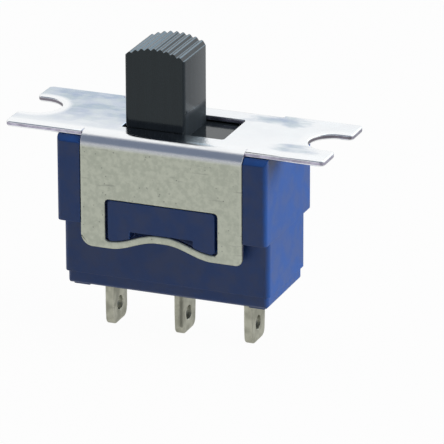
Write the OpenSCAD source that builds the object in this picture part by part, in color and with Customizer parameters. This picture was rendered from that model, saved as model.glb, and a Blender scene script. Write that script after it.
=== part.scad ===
// Slide switch with one row of three solder terminals, for mounting behind a panel.
// Origin: centre of the mounting plate's top face. X runs along the switch, Z up out of the panel.

/* [Mounting plate] */
// Thickness of the folded sheet metal
sheet_t = 0.35; // [0.25:0.01:0.5]
// Length of the plate over both ears
plate_l = 21.2; // [17:0.1:26]
// Width of the plate at the ears
plate_w = 7.15; // [5.5:0.05:8]
// Radius of the corners of the ears
ear_corner_r = 0.35; // [0.1:0.05:0.9]
// Width of the open screw notch in each ear
notch_w = 3.0; // [1.8:0.1:3.4]
// Distance from the end of an ear to the centre of its notch
notch_inset = 0.75; // [0.5:0.05:1.2]

/* [Flaps] */
// Length of each folded flap
flap_l = 10.8; // [9.5:0.1:12.6]
// Height of the lower edge of the flaps below the plate's top
flap_drop = 7.45; // [7:0.05:9]
// Inside radius of the bend between plate and flap
bend_r = 0.55; // [0.3:0.05:0.7]
// Radius of the flap's left lower corner
flap_left_r = 0.8; // [0.2:0.05:1]
// Radius of the flap's right lower corner
flap_right_r = 0.45; // [0.2:0.05:1]
// Length of the window in each flap
window_l = 7.5; // [6.4:0.1:8.6]
// Depth of the window's upper edge below the plate's top
window_top = 4.2; // [2.5:0.05:4.6]
// Height of the strap below the window
strap_h = 0.5; // [0.35:0.05:0.9]
// Height by which the strap is pressed up in its middle
strap_rise = 0.75; // [0.3:0.02:0.9]
// Length of the level middle of the raised strap
strap_flat = 0.5; // [0:0.1:2.4]
// Length of the slope on each side of that middle
strap_run = 3.2; // [1:0.1:3.4]
// Distance of the raised middle from the centre of the window
strap_shift = 0.0; // [0:0.02:0.3]

/* [Case] */
// Length of the upper part of the case
case_l = 14.0; // [13.4:0.02:18]
// Depth of the upper part of the case, level with the flaps
upper_w = 7.9; // [7:0.1:9.5]
// Depth of the lower part of the case
lower_w = 6.25; // [5.4:0.05:7.4]
// Depth of the step between the upper and the lower part
step_drop = 5.98; // [5:0.02:6.2]
// Depth of the underside of the case below the plate's top
case_drop = 10.45; // [9.4:0.1:12.5]
// Inset of the lower part at each end
end_inset = 0.12; // [0.02:0.02:0.3]
// Radius of the upright corners of the case
case_corner_r = 0.3; // [0.1:0.05:0.5]
// Chamfer along the top edges over the flaps
top_chamfer = 0.35; // [0.2:0.05:0.6]
// Height of the narrower rim round the underside
rim_h = 0.8; // [0.4:0.05:1.2]
// Inset of that rim
rim_inset = 0.14; // [0.02:0.02:0.2]
// Chamfer round the underside
rim_chamfer = 0.15; // [0.1:0.05:0.35]
// Length of each standoff foot
foot_l = 1.1; // [0.6:0.1:1.6]
// Height of each standoff foot
foot_h = 0.15; // [0.05:0.01:0.3]
// Length of the notch in the boss for the raised strap
boss_notch_l = 4.2; // [3:0.1:5]
// Gap between the boss and each end of the window
boss_gap = 0.17; // [0.05:0.01:0.3]
// Thickness of the end walls round the slider
end_wall = 0.78; // [0.5:0.02:1.2]
// Thickness of the floor that carries the terminals
floor_t = 3.25; // [2.4:0.1:4]
// Width of the contact chamber
chamber_w = 4.4; // [4:0.1:4.8]

/* [Slider] */
// Length of the knob
knob_l = 4.0; // [3:0.1:5]
// Width of the knob
knob_w = 3.75; // [3:0.1:4.4]
// Height of the crown above the plate's top
knob_h = 5.3; // [4:0.1:7]
// Rise of the crown in its middle
crown_rise = 0.55; // [0.3:0.05:0.8]
// Radius of the upright corners of the knob
knob_corner_r = 0.22; // [0.05:0.01:0.5]
// Number of grip ridges on the crown
ridge_count = 9; // [5:1:13]
// Depth of the grooves between the ridges
ridge_depth = 0.13; // [0.05:0.01:0.2]
// Travel from one position to the other
travel = 2.4; // [1.8:0.1:3]
// Width of the shield flange under the plate
flange_w = 5.3; // [4.9:0.1:5.6]
// Thickness of the shield flange
flange_t = 0.85; // [0.6:0.05:1.1]
// Outside diameter of the barrel that holds spring and plunger
barrel_d = 2.9; // [2.5:0.1:3.2]
// Height of the barrel's lower end above the chamber's floor
barrel_up = 2.6; // [2.5:0.05:3]
// Height of the bore's end above the plate's top
bore_top = 1.2; // [0.4:0.1:2]

/* [Contacts] */
// Distance between neighbouring terminals
pitch = 4.7; // [3.9:0.1:5.7]
// Width of a terminal blade
blade_w = 2.2; // [1.5:0.05:2.4]
// Thickness of a terminal blade
blade_t = 0.55; // [0.4:0.05:0.66]
// Length of a blade below the case
blade_out = 3.35; // [2.6:0.1:5]
// Radius of the corners of a blade's tip
tip_corner_r = 0.5; // [0.1:0.05:0.7]
// Diameter of the solder hole
solder_hole_d = 0.9; // [0.6:0.05:1.1]
// Height of the solder hole above the tip
solder_hole_up = 1.2; // [1:0.05:1.8]
// Diameter of the contact rivet heads
contact_d = 1.1; // [0.9:0.05:1.3]
// Height of a fixed contact's head
fixed_head_h = 0.35; // [0.25:0.05:0.5]
// Height of a moving contact's head
moving_head_h = 0.3; // [0.2:0.05:0.4]
// Diameter of the rivet shanks
shank_d = 0.5; // [0.4:0.05:0.7]
// Distance from an end terminal's line in to its contacts
contact_in = 0.82; // [0.5:0.02:1]
// Thickness of the rocker
rocker_t = 0.3; // [0.2:0.02:0.4]
// Width of the rocker's arms
rocker_w = 1.8; // [1.4:0.1:2]
// Tilt of the rocker to each side, in degrees
rocker_tilt = 8; // [6:0.5:9]
// Diameter of the plunger
plunger_d = 1.5; // [1.2:0.05:1.6]
// Length of the plunger's shank above its round tip
plunger_l = 1.4; // [1:0.1:1.8]
// Diameter of the spring wire
wire_d = 0.22; // [0.14:0.02:0.26]
// Number of turns of the spring
spring_turns = 8; // [5:1:11]

/* [Clearances] */
// Gap between pieces that are pressed together
seat_gap = 0.02; // [0.005:0.005:0.04]
// Running gap beside moving pieces
run_gap = 0.05; // [0.02:0.01:0.08]
// Gap from the knob to each end of its slot
slot_end_gap = 0.18; // [0.1:0.02:0.5]
// Gap beside the knob in its slot
knob_side_gap = 0.06; // [0.03:0.005:0.15]
// Gap between the plunger's tip and the rocker
tip_gap = 0.06; // [0.04:0.01:0.1]

/* [Hidden] */
$fn = 48;
cut = 0.5;                               // how far cutting shapes run past a face
root = 0.1;                              // how far a joined shape reaches into its neighbour

// plate and flaps
flap_y = upper_w / 2;                    // outer plane of a flap
bend_o = bend_r + sheet_t;
bend_y = flap_y - bend_o;                // where the bend starts
slot_l = knob_l + travel + 2 * slot_end_gap;
slot_w = knob_w + 2 * knob_side_gap;
slot_r = 0.15;
notch_x = plate_l / 2 - notch_inset;
window_low = flap_drop - strap_h;
window_r = 0.25;
strap_steps = 14;

// case
pocket_y = flap_y - sheet_t - seat_gap;  // bottom of the pocket that takes a flap
pocket_chamfer = bend_r;                 // clears the inside of the bend
pocket_l = flap_l + 2 * seat_gap;
foot_w = 0.8;
foot_inset = 0.15;
boss_y = flap_y - seat_gap;
boss_l = window_l - 2 * boss_gap;
boss_top = window_top + seat_gap;
boss_notch_top = window_low - strap_rise - seat_gap;
boss_low = window_low - seat_gap;
floor_z = -case_drop + floor_t;
tab_end_gap = 0.25;                      // from an end terminal to the chamber's wall
chamber_l = 2 * (pitch + blade_t / 2 + tab_end_gap);
contact_reach = pitch - contact_in;      // from the pivot to the contacts

// slider
rest_x = -travel / 2;                    // knob at the left end, as it leaves the factory
flange_z = -sheet_t - run_gap;           // upper face of the flange
flange_l = case_l - 2 * end_wall - travel - 4 * run_gap;
well_l = flange_l + travel + 4 * run_gap;
well_w = flange_w + 2 * run_gap;
well_z = flange_z - flange_t - run_gap;
crown_r = (knob_l * knob_l / 4 + crown_rise * crown_rise) / (2 * crown_rise);
ridge_margin = 0.08;
ridge_pitch = (knob_l - 2 * ridge_margin) / ridge_count;
bore_d = plunger_d + 2 * run_gap;
barrel_low = floor_z + barrel_up;

// rocker, in its own frame with the pivot line at the origin
pivot_r = blade_t / 2;
rocker_low = pivot_r + run_gap;          // underside of the rocker over the pivot
tip_r = plunger_d / 2;
tip_up = rocker_low + rocker_t + tip_gap + tip_r;
half_travel = travel / 2;
end_x = half_travel * cos(rocker_tilt) - tip_up * sin(rocker_tilt);
end_up = half_travel * sin(rocker_tilt) + tip_up * cos(rocker_tilt);
arm_share = 0.86;                        // keeps the arms below the plunger's whole path
arm_slope = atan(arm_share * (end_up - tip_up) / end_x);
arm_end = 0.1;                           // arm past the edge of its contact
arm_l = contact_reach + contact_d / 2 + arm_end;
hub_l = 1.5;
ear_t = 0.3;
ear_in = rocker_w / 2 + 0.22;            // inner face of an ear, clear of the arms' edges
ear_out = ear_in + ear_t;
ear_low = 0.1;                           // how far the ears reach below the pivot line
prong_in = ear_out + run_gap;
prong_t = 0.28;
prong_out = prong_in + prong_t;
prong_up = 0.85;
upset_d = 0.75;                          // upset ends of the moving contacts' shanks
upset_h = 0.1;

// levels of the contact set
fixed_top = floor_z + blade_t + fixed_head_h;
rivet_x = contact_reach + moving_head_h * sin(arm_slope);
rivet_up = rocker_low + contact_reach * tan(arm_slope) - moving_head_h * cos(arm_slope);
pivot_z = fixed_top + seat_gap + rivet_x * sin(rocker_tilt) - rivet_up * cos(rocker_tilt);
tip_z = pivot_z + tip_up;                // centre of the plunger's round tip
tab_in = contact_reach - contact_d / 2 - run_gap;

// spring
spring_low = tip_z + plunger_l;
spring_high = bore_top;
spring_r = plunger_d / 2 - wire_d / 2 - run_gap;
spring_sides = 8;
spring_step = 20;                        // degrees from one ring of the wire to the next
tail_d = 2 * spring_r - wire_d - 2 * run_gap;
tail_l = 0.9;

// height of the strap over its straight line at a distance x from the window's centre
function strap_lift(x) =
    let (t = (abs(x - strap_shift) - strap_flat / 2) / strap_run)
    t <= 0 ? strap_rise : t >= 1 ? 0 : strap_rise * (1 + cos(180 * t)) / 2;

// the strap's curve from left to right, as points at a given height
function strap_curve(base) =
    let (half = strap_flat / 2 + strap_run)
    [for (i = [-strap_steps:strap_steps])
        let (x = strap_shift + half * i / strap_steps) [x, base + strap_lift(x)]];

// rectangle with round corners, centred
module round_rect(l, w, r) {
    square([l - 2 * r, w], center = true);
    square([l, w - 2 * r], center = true);
    for (sx = [-1, 1], sy = [-1, 1])
        translate([sx * (l / 2 - r), sy * (w / 2 - r)]) circle(r);
}

// a shape drawn in X and Z, given a thickness from y0 to y1
module upright(y0, y1) {
    translate([0, y1, 0]) rotate([90, 0, 0]) linear_extrude(y1 - y0) children();
}

// ---------- folded frame ----------

module ear_plate_outline() {
    prong_w = (plate_w - notch_w) / 2;
    prong_l = notch_inset + 2 * ear_corner_r;
    difference() {
        union() {
            square([2 * notch_x, plate_w], center = true);
            for (sx = [-1, 1], sy = [-1, 1])
                translate([sx * (plate_l / 2 - prong_l / 2), sy * (plate_w / 2 - prong_w / 2)])
                    round_rect(prong_l, prong_w, ear_corner_r);
        }
        for (sx = [-1, 1]) translate([sx * notch_x, 0]) circle(d = notch_w);
    }
}

// section of the plate and its two bends, drawn in Y and Z
module bend_section() {
    translate([-bend_y, -sheet_t]) square([2 * bend_y, sheet_t]);
    for (s = [0, 1]) mirror([s, 0])
        translate([bend_y, -bend_o]) intersection() {
            difference() {
                circle(bend_o);
                circle(bend_r);
            }
            square([bend_o, bend_o]);
        }
}

// one flap with its window and raised strap, drawn in X and Z
module flap_outline() {
    low = -flap_drop;
    deep_r = max(flap_left_r, flap_right_r);
    half = strap_flat / 2 + strap_run;
    difference() {
        union() {
            translate([-flap_l / 2, low + deep_r]) square([flap_l, flap_drop - deep_r - bend_o]);
            translate([-flap_l / 2 + flap_left_r, low])
                square([flap_l - flap_left_r - flap_right_r, deep_r]);
            translate([-flap_l / 2, low + flap_left_r]) square([flap_l, deep_r - flap_left_r + seat_gap]);
            translate([-flap_l / 2 + flap_left_r, low + flap_left_r]) circle(flap_left_r);
            translate([flap_l / 2 - flap_right_r, low + flap_right_r]) circle(flap_right_r);
            translate([0, low + flap_right_r]) square([flap_l / 2, deep_r - flap_right_r + seat_gap]);
        }
        polygon(concat(
            [[strap_shift - half, low - cut]], strap_curve(low), [[strap_shift + half, low - cut]]));
        translate([0, -(window_top + window_low) / 2])
            round_rect(window_l, window_low - window_top, window_r);
    }
    intersection() {
        polygon(concat([[strap_shift - half, -window_low - strap_h / 2]], strap_curve(-window_low),
            [[strap_shift + half, -window_low - strap_h / 2]]));
        translate([-window_l / 2, -window_low]) square([window_l, strap_rise]);
    }
}

module frame() {
    color("gainsboro")
    difference() {
        union() {
            translate([0, 0, -sheet_t]) linear_extrude(sheet_t) difference() {
                ear_plate_outline();
                for (s = [-1, 1]) translate([0, s * (bend_y + plate_w / 2)])
                    square([flap_l, plate_w], center = true);
            }
            translate([-flap_l / 2, 0, 0]) rotate([90, 0, 90]) linear_extrude(flap_l) bend_section();
            for (s = [0, 1]) mirror([0, s, 0])
                upright(-flap_y, -flap_y + sheet_t) flap_outline();
        }
        translate([0, 0, -sheet_t - cut]) linear_extrude(sheet_t + 2 * cut)
            round_rect(slot_l, slot_w, slot_r);
    }
}

// ---------- moulded case ----------

// block with round upright corners
module case_block(l, w, z0, z1) {
    translate([0, 0, z0]) linear_extrude(z1 - z0) round_rect(l, w, case_corner_r);
}

// square bar that cuts a 45 degree chamfer along X
module chamfer_bar(l, size) {
    rotate([45, 0, 0]) cube([l, size * sqrt(2), size * sqrt(2)], center = true);
}

// boss that fills a window; its lower edge follows the strap on both sides of the notch
module boss_outline() {
    half = strap_flat / 2 + strap_run;
    difference() {
        translate([0, -(boss_top + boss_low) / 2])
            round_rect(boss_l, boss_low - boss_top, window_r);
        polygon(concat([[strap_shift - half, -boss_low - cut]], strap_curve(-boss_low),
            [[strap_shift + half, -boss_low - cut]]));
        translate([-boss_notch_l / 2, -boss_low - cut])
            square([boss_notch_l, boss_low - boss_notch_top + cut]);
    }
}

module case_boss() {
    upright(-boss_y, cut - lower_w / 2) boss_outline();
}

module case_upper() {
    difference() {
        case_block(case_l, upper_w, -step_drop, -sheet_t);
        for (s = [-1, 1]) translate([0, s * flap_y, -sheet_t]) chamfer_bar(case_l + 2, top_chamfer);
        for (s = [0, 1]) mirror([0, s, 0]) translate([-pocket_l / 2, pocket_y, -step_drop - cut])
            cube([pocket_l, cut * 2, step_drop + 2 * cut]);
        for (s = [-1, 1]) translate([0, s * pocket_y, -sheet_t]) chamfer_bar(pocket_l, pocket_chamfer);
    }
}

// narrower rim with a chamfered lower edge, on four feet
module case_rim(rim_l, rim_w) {
    difference() {
        case_block(rim_l, rim_w, -case_drop, rim_h - case_drop);
        for (s = [-1, 1]) translate([0, s * rim_w / 2, -case_drop]) chamfer_bar(rim_l + 2, rim_chamfer);
        for (s = [-1, 1]) translate([s * rim_l / 2, 0, -case_drop]) rotate([0, 0, 90])
            chamfer_bar(rim_w + 2, rim_chamfer);
    }
    for (sx = [-1, 1], sy = [-1, 1])
        translate([sx * (rim_l / 2 - rim_chamfer - foot_inset - foot_l / 2),
                   sy * (rim_w / 2 - rim_chamfer - foot_inset - foot_w / 2), -case_drop])
            cube([foot_l, foot_w, 2 * foot_h], center = true);
}

module case_body() {
    lower_l = case_l - 2 * end_inset;
    case_upper();
    case_block(lower_l, lower_w, rim_h - case_drop, -step_drop);
    case_rim(lower_l - 2 * rim_inset, lower_w - 2 * rim_inset);
    for (s = [0, 1]) mirror([0, s, 0]) case_boss();
}

module case() {
    color("midnightblue")
    difference() {
        case_body();
        translate([-well_l / 2, -well_w / 2, well_z]) cube([well_l, well_w, -well_z]);
        translate([-chamber_l / 2, -chamber_w / 2, floor_z])
            cube([chamber_l, chamber_w, -floor_z]);
        for (i = [-1:1])
            translate([i * pitch - blade_t / 2 - seat_gap, -blade_w / 2 - seat_gap, -case_drop - cut])
                cube([blade_t + 2 * seat_gap, blade_w + 2 * seat_gap, floor_t + 2 * cut]);
    }
}

// ---------- slider, spring and plunger ----------

module knob() {
    crown_z = knob_h - crown_r;
    difference() {
        intersection() {
            translate([0, 0, flange_z - flange_t / 2]) linear_extrude(knob_h - flange_z + flange_t)
                round_rect(knob_l, knob_w, knob_corner_r);
            union() {
                translate([0, 0, crown_z]) rotate([90, 0, 0])
                    cylinder(r = crown_r, h = knob_w + 2, center = true, $fn = 96);
                translate([-knob_l, -knob_w, -flange_t - 2])
                    cube([2 * knob_l, 2 * knob_w, knob_h - crown_rise - crown_rise / 2 + flange_t + 2]);
            }
        }
        for (i = [0:ridge_count]) {
            x = (i - ridge_count / 2) * ridge_pitch;
            translate([x, 0, crown_z + sqrt(crown_r * crown_r - x * x)]) rotate([0, 45, 0])
                cube([ridge_depth * sqrt(2), knob_w + 2, ridge_depth * sqrt(2)], center = true);
        }
    }
}

module slider() {
    color("#303236")
    translate([rest_x, 0, 0]) difference() {
        union() {
            knob();
            translate([-flange_l / 2, -flange_w / 2, flange_z - flange_t])
                cube([flange_l, flange_w, flange_t]);
            translate([0, 0, barrel_low])
                cylinder(d = barrel_d, h = flange_z - flange_t / 2 - barrel_low);
        }
        translate([0, 0, barrel_low - cut]) cylinder(d = bore_d, h = bore_top - barrel_low + cut);
    }
}

// point on a ring of the wire: turn angle a along the coil, angle b round the wire
function wire_point(a, b) =
    let (rise = (spring_high - spring_low - wire_d - 2 * seat_gap) * a / (360 * spring_turns))
    let (r = spring_r + wire_d / 2 * cos(b))
    [r * cos(a), r * sin(a), spring_low + seat_gap + wire_d / 2 + rise + wire_d / 2 * sin(b)];

module spring() {
    rings = spring_turns * 360 / spring_step;
    n = spring_sides;
    points = [for (i = [0:rings], j = [0:n - 1]) wire_point(i * spring_step, j * 360 / n)];
    skin = [for (i = [0:rings - 1], j = [0:n - 1])
        [i * n + j, (i + 1) * n + j, (i + 1) * n + (j + 1) % n, i * n + (j + 1) % n]];
    ends = [[for (j = [0:n - 1]) j], [for (j = [0:n - 1]) rings * n + n - 1 - j]];
    color("lightsteelblue")
    translate([rest_x, 0, 0]) polyhedron(points, concat(skin, ends), convexity = 10);
}

module plunger() {
    color("goldenrod")
    translate([rest_x, 0, tip_z]) {
        sphere(r = tip_r);
        cylinder(r = tip_r, h = plunger_l);
        cylinder(d = tail_d, h = plunger_l + tail_l);
    }
}

// ---------- contact set ----------

// puts children, made in the rocker's own frame, where the rocker rests: left arm down
module at_rocker_rest() {
    translate([0, 0, pivot_z]) rotate([0, -rocker_tilt, 0]) children();
}

// puts children on the underside of one arm, at the contact, with Z square to the arm
module on_arm(side) {
    translate([side * contact_reach, 0, rocker_low + contact_reach * tan(arm_slope)])
        rotate([0, -side * arm_slope, 0]) children();
}

// edge-on shape of the rocker out to a distance `reach` from the pivot, drawn in X and Z
module vee(reach) {
    thick = rocker_t / cos(arm_slope);
    rise = reach * tan(arm_slope);
    polygon([[0, rocker_low], [reach, rocker_low + rise], [reach, rocker_low + rise + thick],
        [0, rocker_low + thick], [-reach, rocker_low + rise + thick], [-reach, rocker_low + rise]]);
}

// one ear beside the arms, with the half-round seat that rides on the pivot
module rocker_ear() {
    upright(rocker_w / 2 - root, ear_out) vee(hub_l / 2);
    difference() {
        translate([-hub_l / 2, ear_in, -ear_low])
            cube([hub_l, ear_t, ear_low + rocker_low + rocker_t / 2]);
        rotate([90, 0, 0]) cylinder(r = rocker_low, h = 2 * prong_out + 2, center = true);
        translate([-rocker_low, 0, -ear_low - cut]) cube([2 * rocker_low, prong_out, ear_low + cut]);
    }
}

module rocker() {
    color("darkkhaki")
    at_rocker_rest() difference() {
        union() {
            upright(-rocker_w / 2, rocker_w / 2) vee(arm_l);
            for (s = [0, 1]) mirror([0, s, 0]) rocker_ear();
        }
        for (side = [-1, 1]) on_arm(side)
            translate([0, 0, -cut]) cylinder(d = shank_d + 2 * seat_gap, h = rocker_t + 2 * cut);
    }
}

module rocker_contact(side) {
    color("silver")
    at_rocker_rest() on_arm(side) {
        translate([0, 0, -moving_head_h]) cylinder(d = contact_d, h = moving_head_h);
        translate([0, 0, -moving_head_h / 2]) cylinder(d = shank_d, h = rocker_t + moving_head_h / 2);
        translate([0, 0, rocker_t]) cylinder(d = upset_d, h = upset_h);
    }
}

module rocker_contact_left() {
    rocker_contact(-1);
}

module rocker_contact_right() {
    rocker_contact(1);
}

module fixed_contact(side) {
    color("silver")
    translate([side * contact_reach, 0, floor_z]) {
        cylinder(d = shank_d, h = blade_t + fixed_head_h / 2);
        translate([0, 0, blade_t]) cylinder(d = contact_d, h = fixed_head_h);
    }
}

module fixed_contact_left() {
    fixed_contact(-1);
}

module fixed_contact_right() {
    fixed_contact(1);
}

// blade of one terminal from the floor of the case down to its tip, drawn in Y and Z
module blade_outline() {
    low = -case_drop - blade_out;
    difference() {
        union() {
            translate([-blade_w / 2, low + tip_corner_r]) square([blade_w, floor_z - low - tip_corner_r]);
            translate([-blade_w / 2 + tip_corner_r, low])
                square([blade_w - 2 * tip_corner_r, 2 * tip_corner_r]);
            for (s = [-1, 1]) translate([s * (blade_w / 2 - tip_corner_r), low + tip_corner_r])
                circle(tip_corner_r);
        }
        translate([0, low + solder_hole_up]) circle(d = solder_hole_d);
    }
}

module blade(side) {
    translate([side * pitch - blade_t / 2, 0, 0]) rotate([90, 0, 90])
        linear_extrude(blade_t) blade_outline();
}

// end terminal: blade, and a tab bent inward over the floor for the fixed contact
module terminal_end(side) {
    tab_l = pitch + blade_t / 2 - tab_in;
    color("darkseagreen")
    difference() {
        union() {
            blade(side);
            translate([side * (tab_in + tab_l / 2), 0, floor_z + blade_t / 2])
                cube([tab_l, blade_w, blade_t], center = true);
        }
        translate([side * contact_reach, 0, floor_z - cut])
            cylinder(d = shank_d + 2 * seat_gap, h = blade_t + 2 * cut);
    }
}

module terminal_left() {
    terminal_end(-1);
}

module terminal_right() {
    terminal_end(1);
}

// common terminal: blade, and a head on the floor with two round pivots between two prongs
module terminal_common() {
    web_top = pivot_z - pivot_r - 2 * run_gap;
    color("darkseagreen") {
        blade(0);
        translate([-blade_t / 2, -prong_out, floor_z]) cube([blade_t, 2 * prong_out, web_top - floor_z]);
        for (s = [0, 1]) mirror([0, s, 0]) {
            translate([-blade_t / 2, ear_in - run_gap, floor_z])
                cube([blade_t, prong_out - ear_in + run_gap, pivot_z - floor_z]);
            translate([0, prong_in + root, pivot_z]) rotate([90, 0, 0])
                cylinder(r = pivot_r, h = prong_in - ear_in + run_gap + root);
            translate([-blade_t / 2, prong_in, pivot_z - root]) cube([blade_t, prong_t, prong_up + root]);
        }
    }
}

frame();
case();
slider();
spring();
plunger();
rocker();
rocker_contact_left();
rocker_contact_right();
fixed_contact_left();
fixed_contact_right();
terminal_left();
terminal_common();
terminal_right();
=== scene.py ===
import math

import bmesh
import bpy
from mathutils import Matrix, Vector


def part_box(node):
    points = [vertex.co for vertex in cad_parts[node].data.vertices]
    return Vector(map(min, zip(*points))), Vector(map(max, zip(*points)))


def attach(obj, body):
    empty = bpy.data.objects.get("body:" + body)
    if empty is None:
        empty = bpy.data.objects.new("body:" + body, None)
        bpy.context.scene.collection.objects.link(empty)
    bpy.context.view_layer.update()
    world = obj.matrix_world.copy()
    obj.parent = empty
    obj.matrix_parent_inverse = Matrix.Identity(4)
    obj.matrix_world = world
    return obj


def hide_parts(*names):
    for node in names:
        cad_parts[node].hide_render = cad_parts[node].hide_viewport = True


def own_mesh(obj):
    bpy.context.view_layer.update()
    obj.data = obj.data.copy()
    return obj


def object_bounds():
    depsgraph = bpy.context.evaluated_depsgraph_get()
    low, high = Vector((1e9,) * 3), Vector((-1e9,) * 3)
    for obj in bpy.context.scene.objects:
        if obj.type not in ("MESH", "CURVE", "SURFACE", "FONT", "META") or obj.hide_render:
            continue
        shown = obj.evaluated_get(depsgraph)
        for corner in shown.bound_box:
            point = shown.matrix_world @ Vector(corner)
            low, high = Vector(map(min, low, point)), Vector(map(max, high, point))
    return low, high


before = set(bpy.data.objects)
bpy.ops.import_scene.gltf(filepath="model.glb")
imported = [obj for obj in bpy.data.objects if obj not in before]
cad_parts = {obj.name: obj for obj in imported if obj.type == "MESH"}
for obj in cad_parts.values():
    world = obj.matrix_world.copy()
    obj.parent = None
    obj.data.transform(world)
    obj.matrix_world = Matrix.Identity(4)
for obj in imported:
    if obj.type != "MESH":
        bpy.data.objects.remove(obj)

cad_box = [list(corner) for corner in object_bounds()]
scene = bpy.context.scene
MM = 0.001


# ---------- case ----------
# The case is one block moulded from dark blue thermoset, dull, with a faint mottle from the mould.
# It is wider above the step, has a low rim and four feet underneath, and a boss that fills the
# window of each flap. The slider's well and the contact chamber are open towards the plate.

CASE_CORNER = 0.42 * MM
OTHER_EDGES = 0.14
CORNER_X, CORNER_Y = 6.6 * MM, 3.0 * MM
FOOT_H = 0.15 * MM
CASE_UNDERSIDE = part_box("case")[0].z + FOOT_H
SAME_POINT = 0.0005 * MM
SAME_PLANE = math.radians(0.5)
CASE_BLUE = (0.0065, 0.048, 0.200, 1)
CASE_DEEP_BLUE = (0.0090, 0.041, 0.163, 1)
CASE_ROUGH = (0.42, 0.52)


def rounded(piece, rounding, steps=3, sharper_than=40, share=None):
    """Rounds the sharp edges of a piece, each by the share of rounding given for its place."""
    shape = bmesh.new()
    shape.from_mesh(piece.data)
    weight = shape.edges.layers.float.new("bevel_weight_edge")
    for edge in shape.edges:
        one, other = edge.verts[0].co, edge.verts[1].co
        if len(edge.link_faces) == 2 and edge.calc_face_angle(0) > math.radians(sharper_than):
            edge[weight] = float(share((one + other) / 2, other - one)) if share else 1.0
    shape.to_mesh(piece.data)
    shape.free()
    piece.data.shade_smooth()
    edges = piece.modifiers.new("rounded edges", "BEVEL")
    edges.width = rounding
    edges.segments = steps
    edges.limit_method = "WEIGHT"
    edges.use_clamp_overlap = False
    edges.material = 0
    flats = piece.modifiers.new("flat faces", "WEIGHTED_NORMAL")
    flats.mode = "FACE_AREA"
    flats.weight = 80
    return piece


def copied_solid(node, name):
    """A copy of a CAD solid with its broken-up flat faces made whole."""
    shape = bmesh.new()
    shape.from_mesh(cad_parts[node].data)
    bmesh.ops.remove_doubles(shape, verts=shape.verts, dist=SAME_POINT)
    bmesh.ops.dissolve_limit(shape, angle_limit=SAME_PLANE, verts=shape.verts, edges=shape.edges)
    mesh = bpy.data.meshes.new(name)
    shape.to_mesh(mesh)
    shape.free()
    piece = bpy.data.objects.new(name, mesh)
    scene.collection.objects.link(piece)
    return piece


def place(tree, kind, inputs=None, **settings):
    """Adds a node to a tree; inputs are values, or sockets to link from."""
    node = tree.nodes.new(kind)
    for key, value in settings.items():
        setattr(node, key, value)
    for key, value in (inputs or {}).items():
        if isinstance(value, bpy.types.NodeSocket):
            tree.links.new(value, node.inputs[key])
        else:
            node.inputs[key].default_value = value
    return node


def sum_of(tree, operation, *values):
    """The result of one Math node."""
    return place(tree, "ShaderNodeMath", dict(enumerate(values)), operation=operation).outputs[0]


def between(tree, share, low, high):
    """A value that goes from low to high as share goes from 0 to 1."""
    return sum_of(tree, "MULTIPLY_ADD", share, high - low, low)


def fade(tree, value, start, end):
    """0 up to start and 1 past end, smooth between; start may be the larger of the two."""
    return place(tree, "ShaderNodeMapRange",
                 {"Value": value, "From Min": start, "From Max": end},
                 interpolation_type="SMOOTHSTEP").outputs[0]


def tinted(tree, share, colour, other):
    """One colour changing into another as share goes from 0 to 1."""
    return place(tree, "ShaderNodeMix", {0: share, 6: colour, 7: other},
                 data_type="RGBA").outputs[2]


def effect(name, inputs, outputs):
    """An empty shader node group with named inputs and outputs."""
    tree = bpy.data.node_groups.new(name, "ShaderNodeTree")
    for label, (kind, value) in inputs.items():
        socket = tree.interface.new_socket(label, in_out="INPUT", socket_type="NodeSocket" + kind)
        if value is not None:
            socket.default_value = value
    for label, kind in outputs.items():
        tree.interface.new_socket(label, in_out="OUTPUT", socket_type="NodeSocket" + kind)
    return tree, tree.nodes.new("NodeGroupInput").outputs, tree.nodes.new("NodeGroupOutput").inputs


def finish_material(name, **settings):
    """A material with one Principled shader; returns both and the Object coordinates."""
    material = bpy.data.materials.new(name)
    material.use_nodes = True
    tree = material.node_tree
    shader = tree.nodes["Principled BSDF"]
    for label, value in settings.items():
        shader.inputs[label.replace("_", " ").title().replace("Ior", "IOR")].default_value = value
    where = tree.nodes.new("ShaderNodeTexCoord").outputs["Object"]
    return material, tree, shader, where


def grain_effect():
    """Fine pits over a wide, soft mottle, as left by a mould or by rolling."""
    tree, given, result = effect(
        "surface_grain",
        {"Position": ("Vector", None), "Grains per m": ("Float", 9000.0),
         "Patches per m": ("Float", 600.0)},
        {"Mottle": "Float", "Relief": "Float"})
    pits = place(tree, "ShaderNodeTexNoise",
                 {"Vector": given["Position"], "Scale": given["Grains per m"],
                  "Detail": 3.0, "Roughness": 0.6}).outputs["Fac"]
    patches = place(tree, "ShaderNodeTexNoise",
                    {"Vector": given["Position"], "Scale": given["Patches per m"],
                     "Detail": 4.0, "Roughness": 0.55}).outputs["Fac"]
    tree.links.new(fade(tree, patches, 0.35, 0.65), result["Mottle"])
    tree.links.new(sum_of(tree, "MULTIPLY_ADD", patches, 0.5, pits), result["Relief"])
    return tree


def edge_effect():
    """Strength along rounded edges and 0 on the flats."""
    tree, given, result = effect(
        "rubbed_edge", {"Reach": ("Float", 0.1 * MM), "Strength": ("Float", 1.0)},
        {"Edge": "Float"})
    softened = place(tree, "ShaderNodeBevel", {"Radius": given["Reach"]}, samples=6).outputs[0]
    straight = place(tree, "ShaderNodeNewGeometry").outputs["Normal"]
    match = place(tree, "ShaderNodeVectorMath", {0: softened, 1: straight},
                  operation="DOT_PRODUCT").outputs["Value"]
    edge = fade(tree, match, 0.995, 0.93)
    tree.links.new(sum_of(tree, "MULTIPLY", edge, given["Strength"]), result["Edge"])
    return tree


SURFACE_GRAIN = grain_effect()
RUBBED_EDGE = edge_effect()


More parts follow.
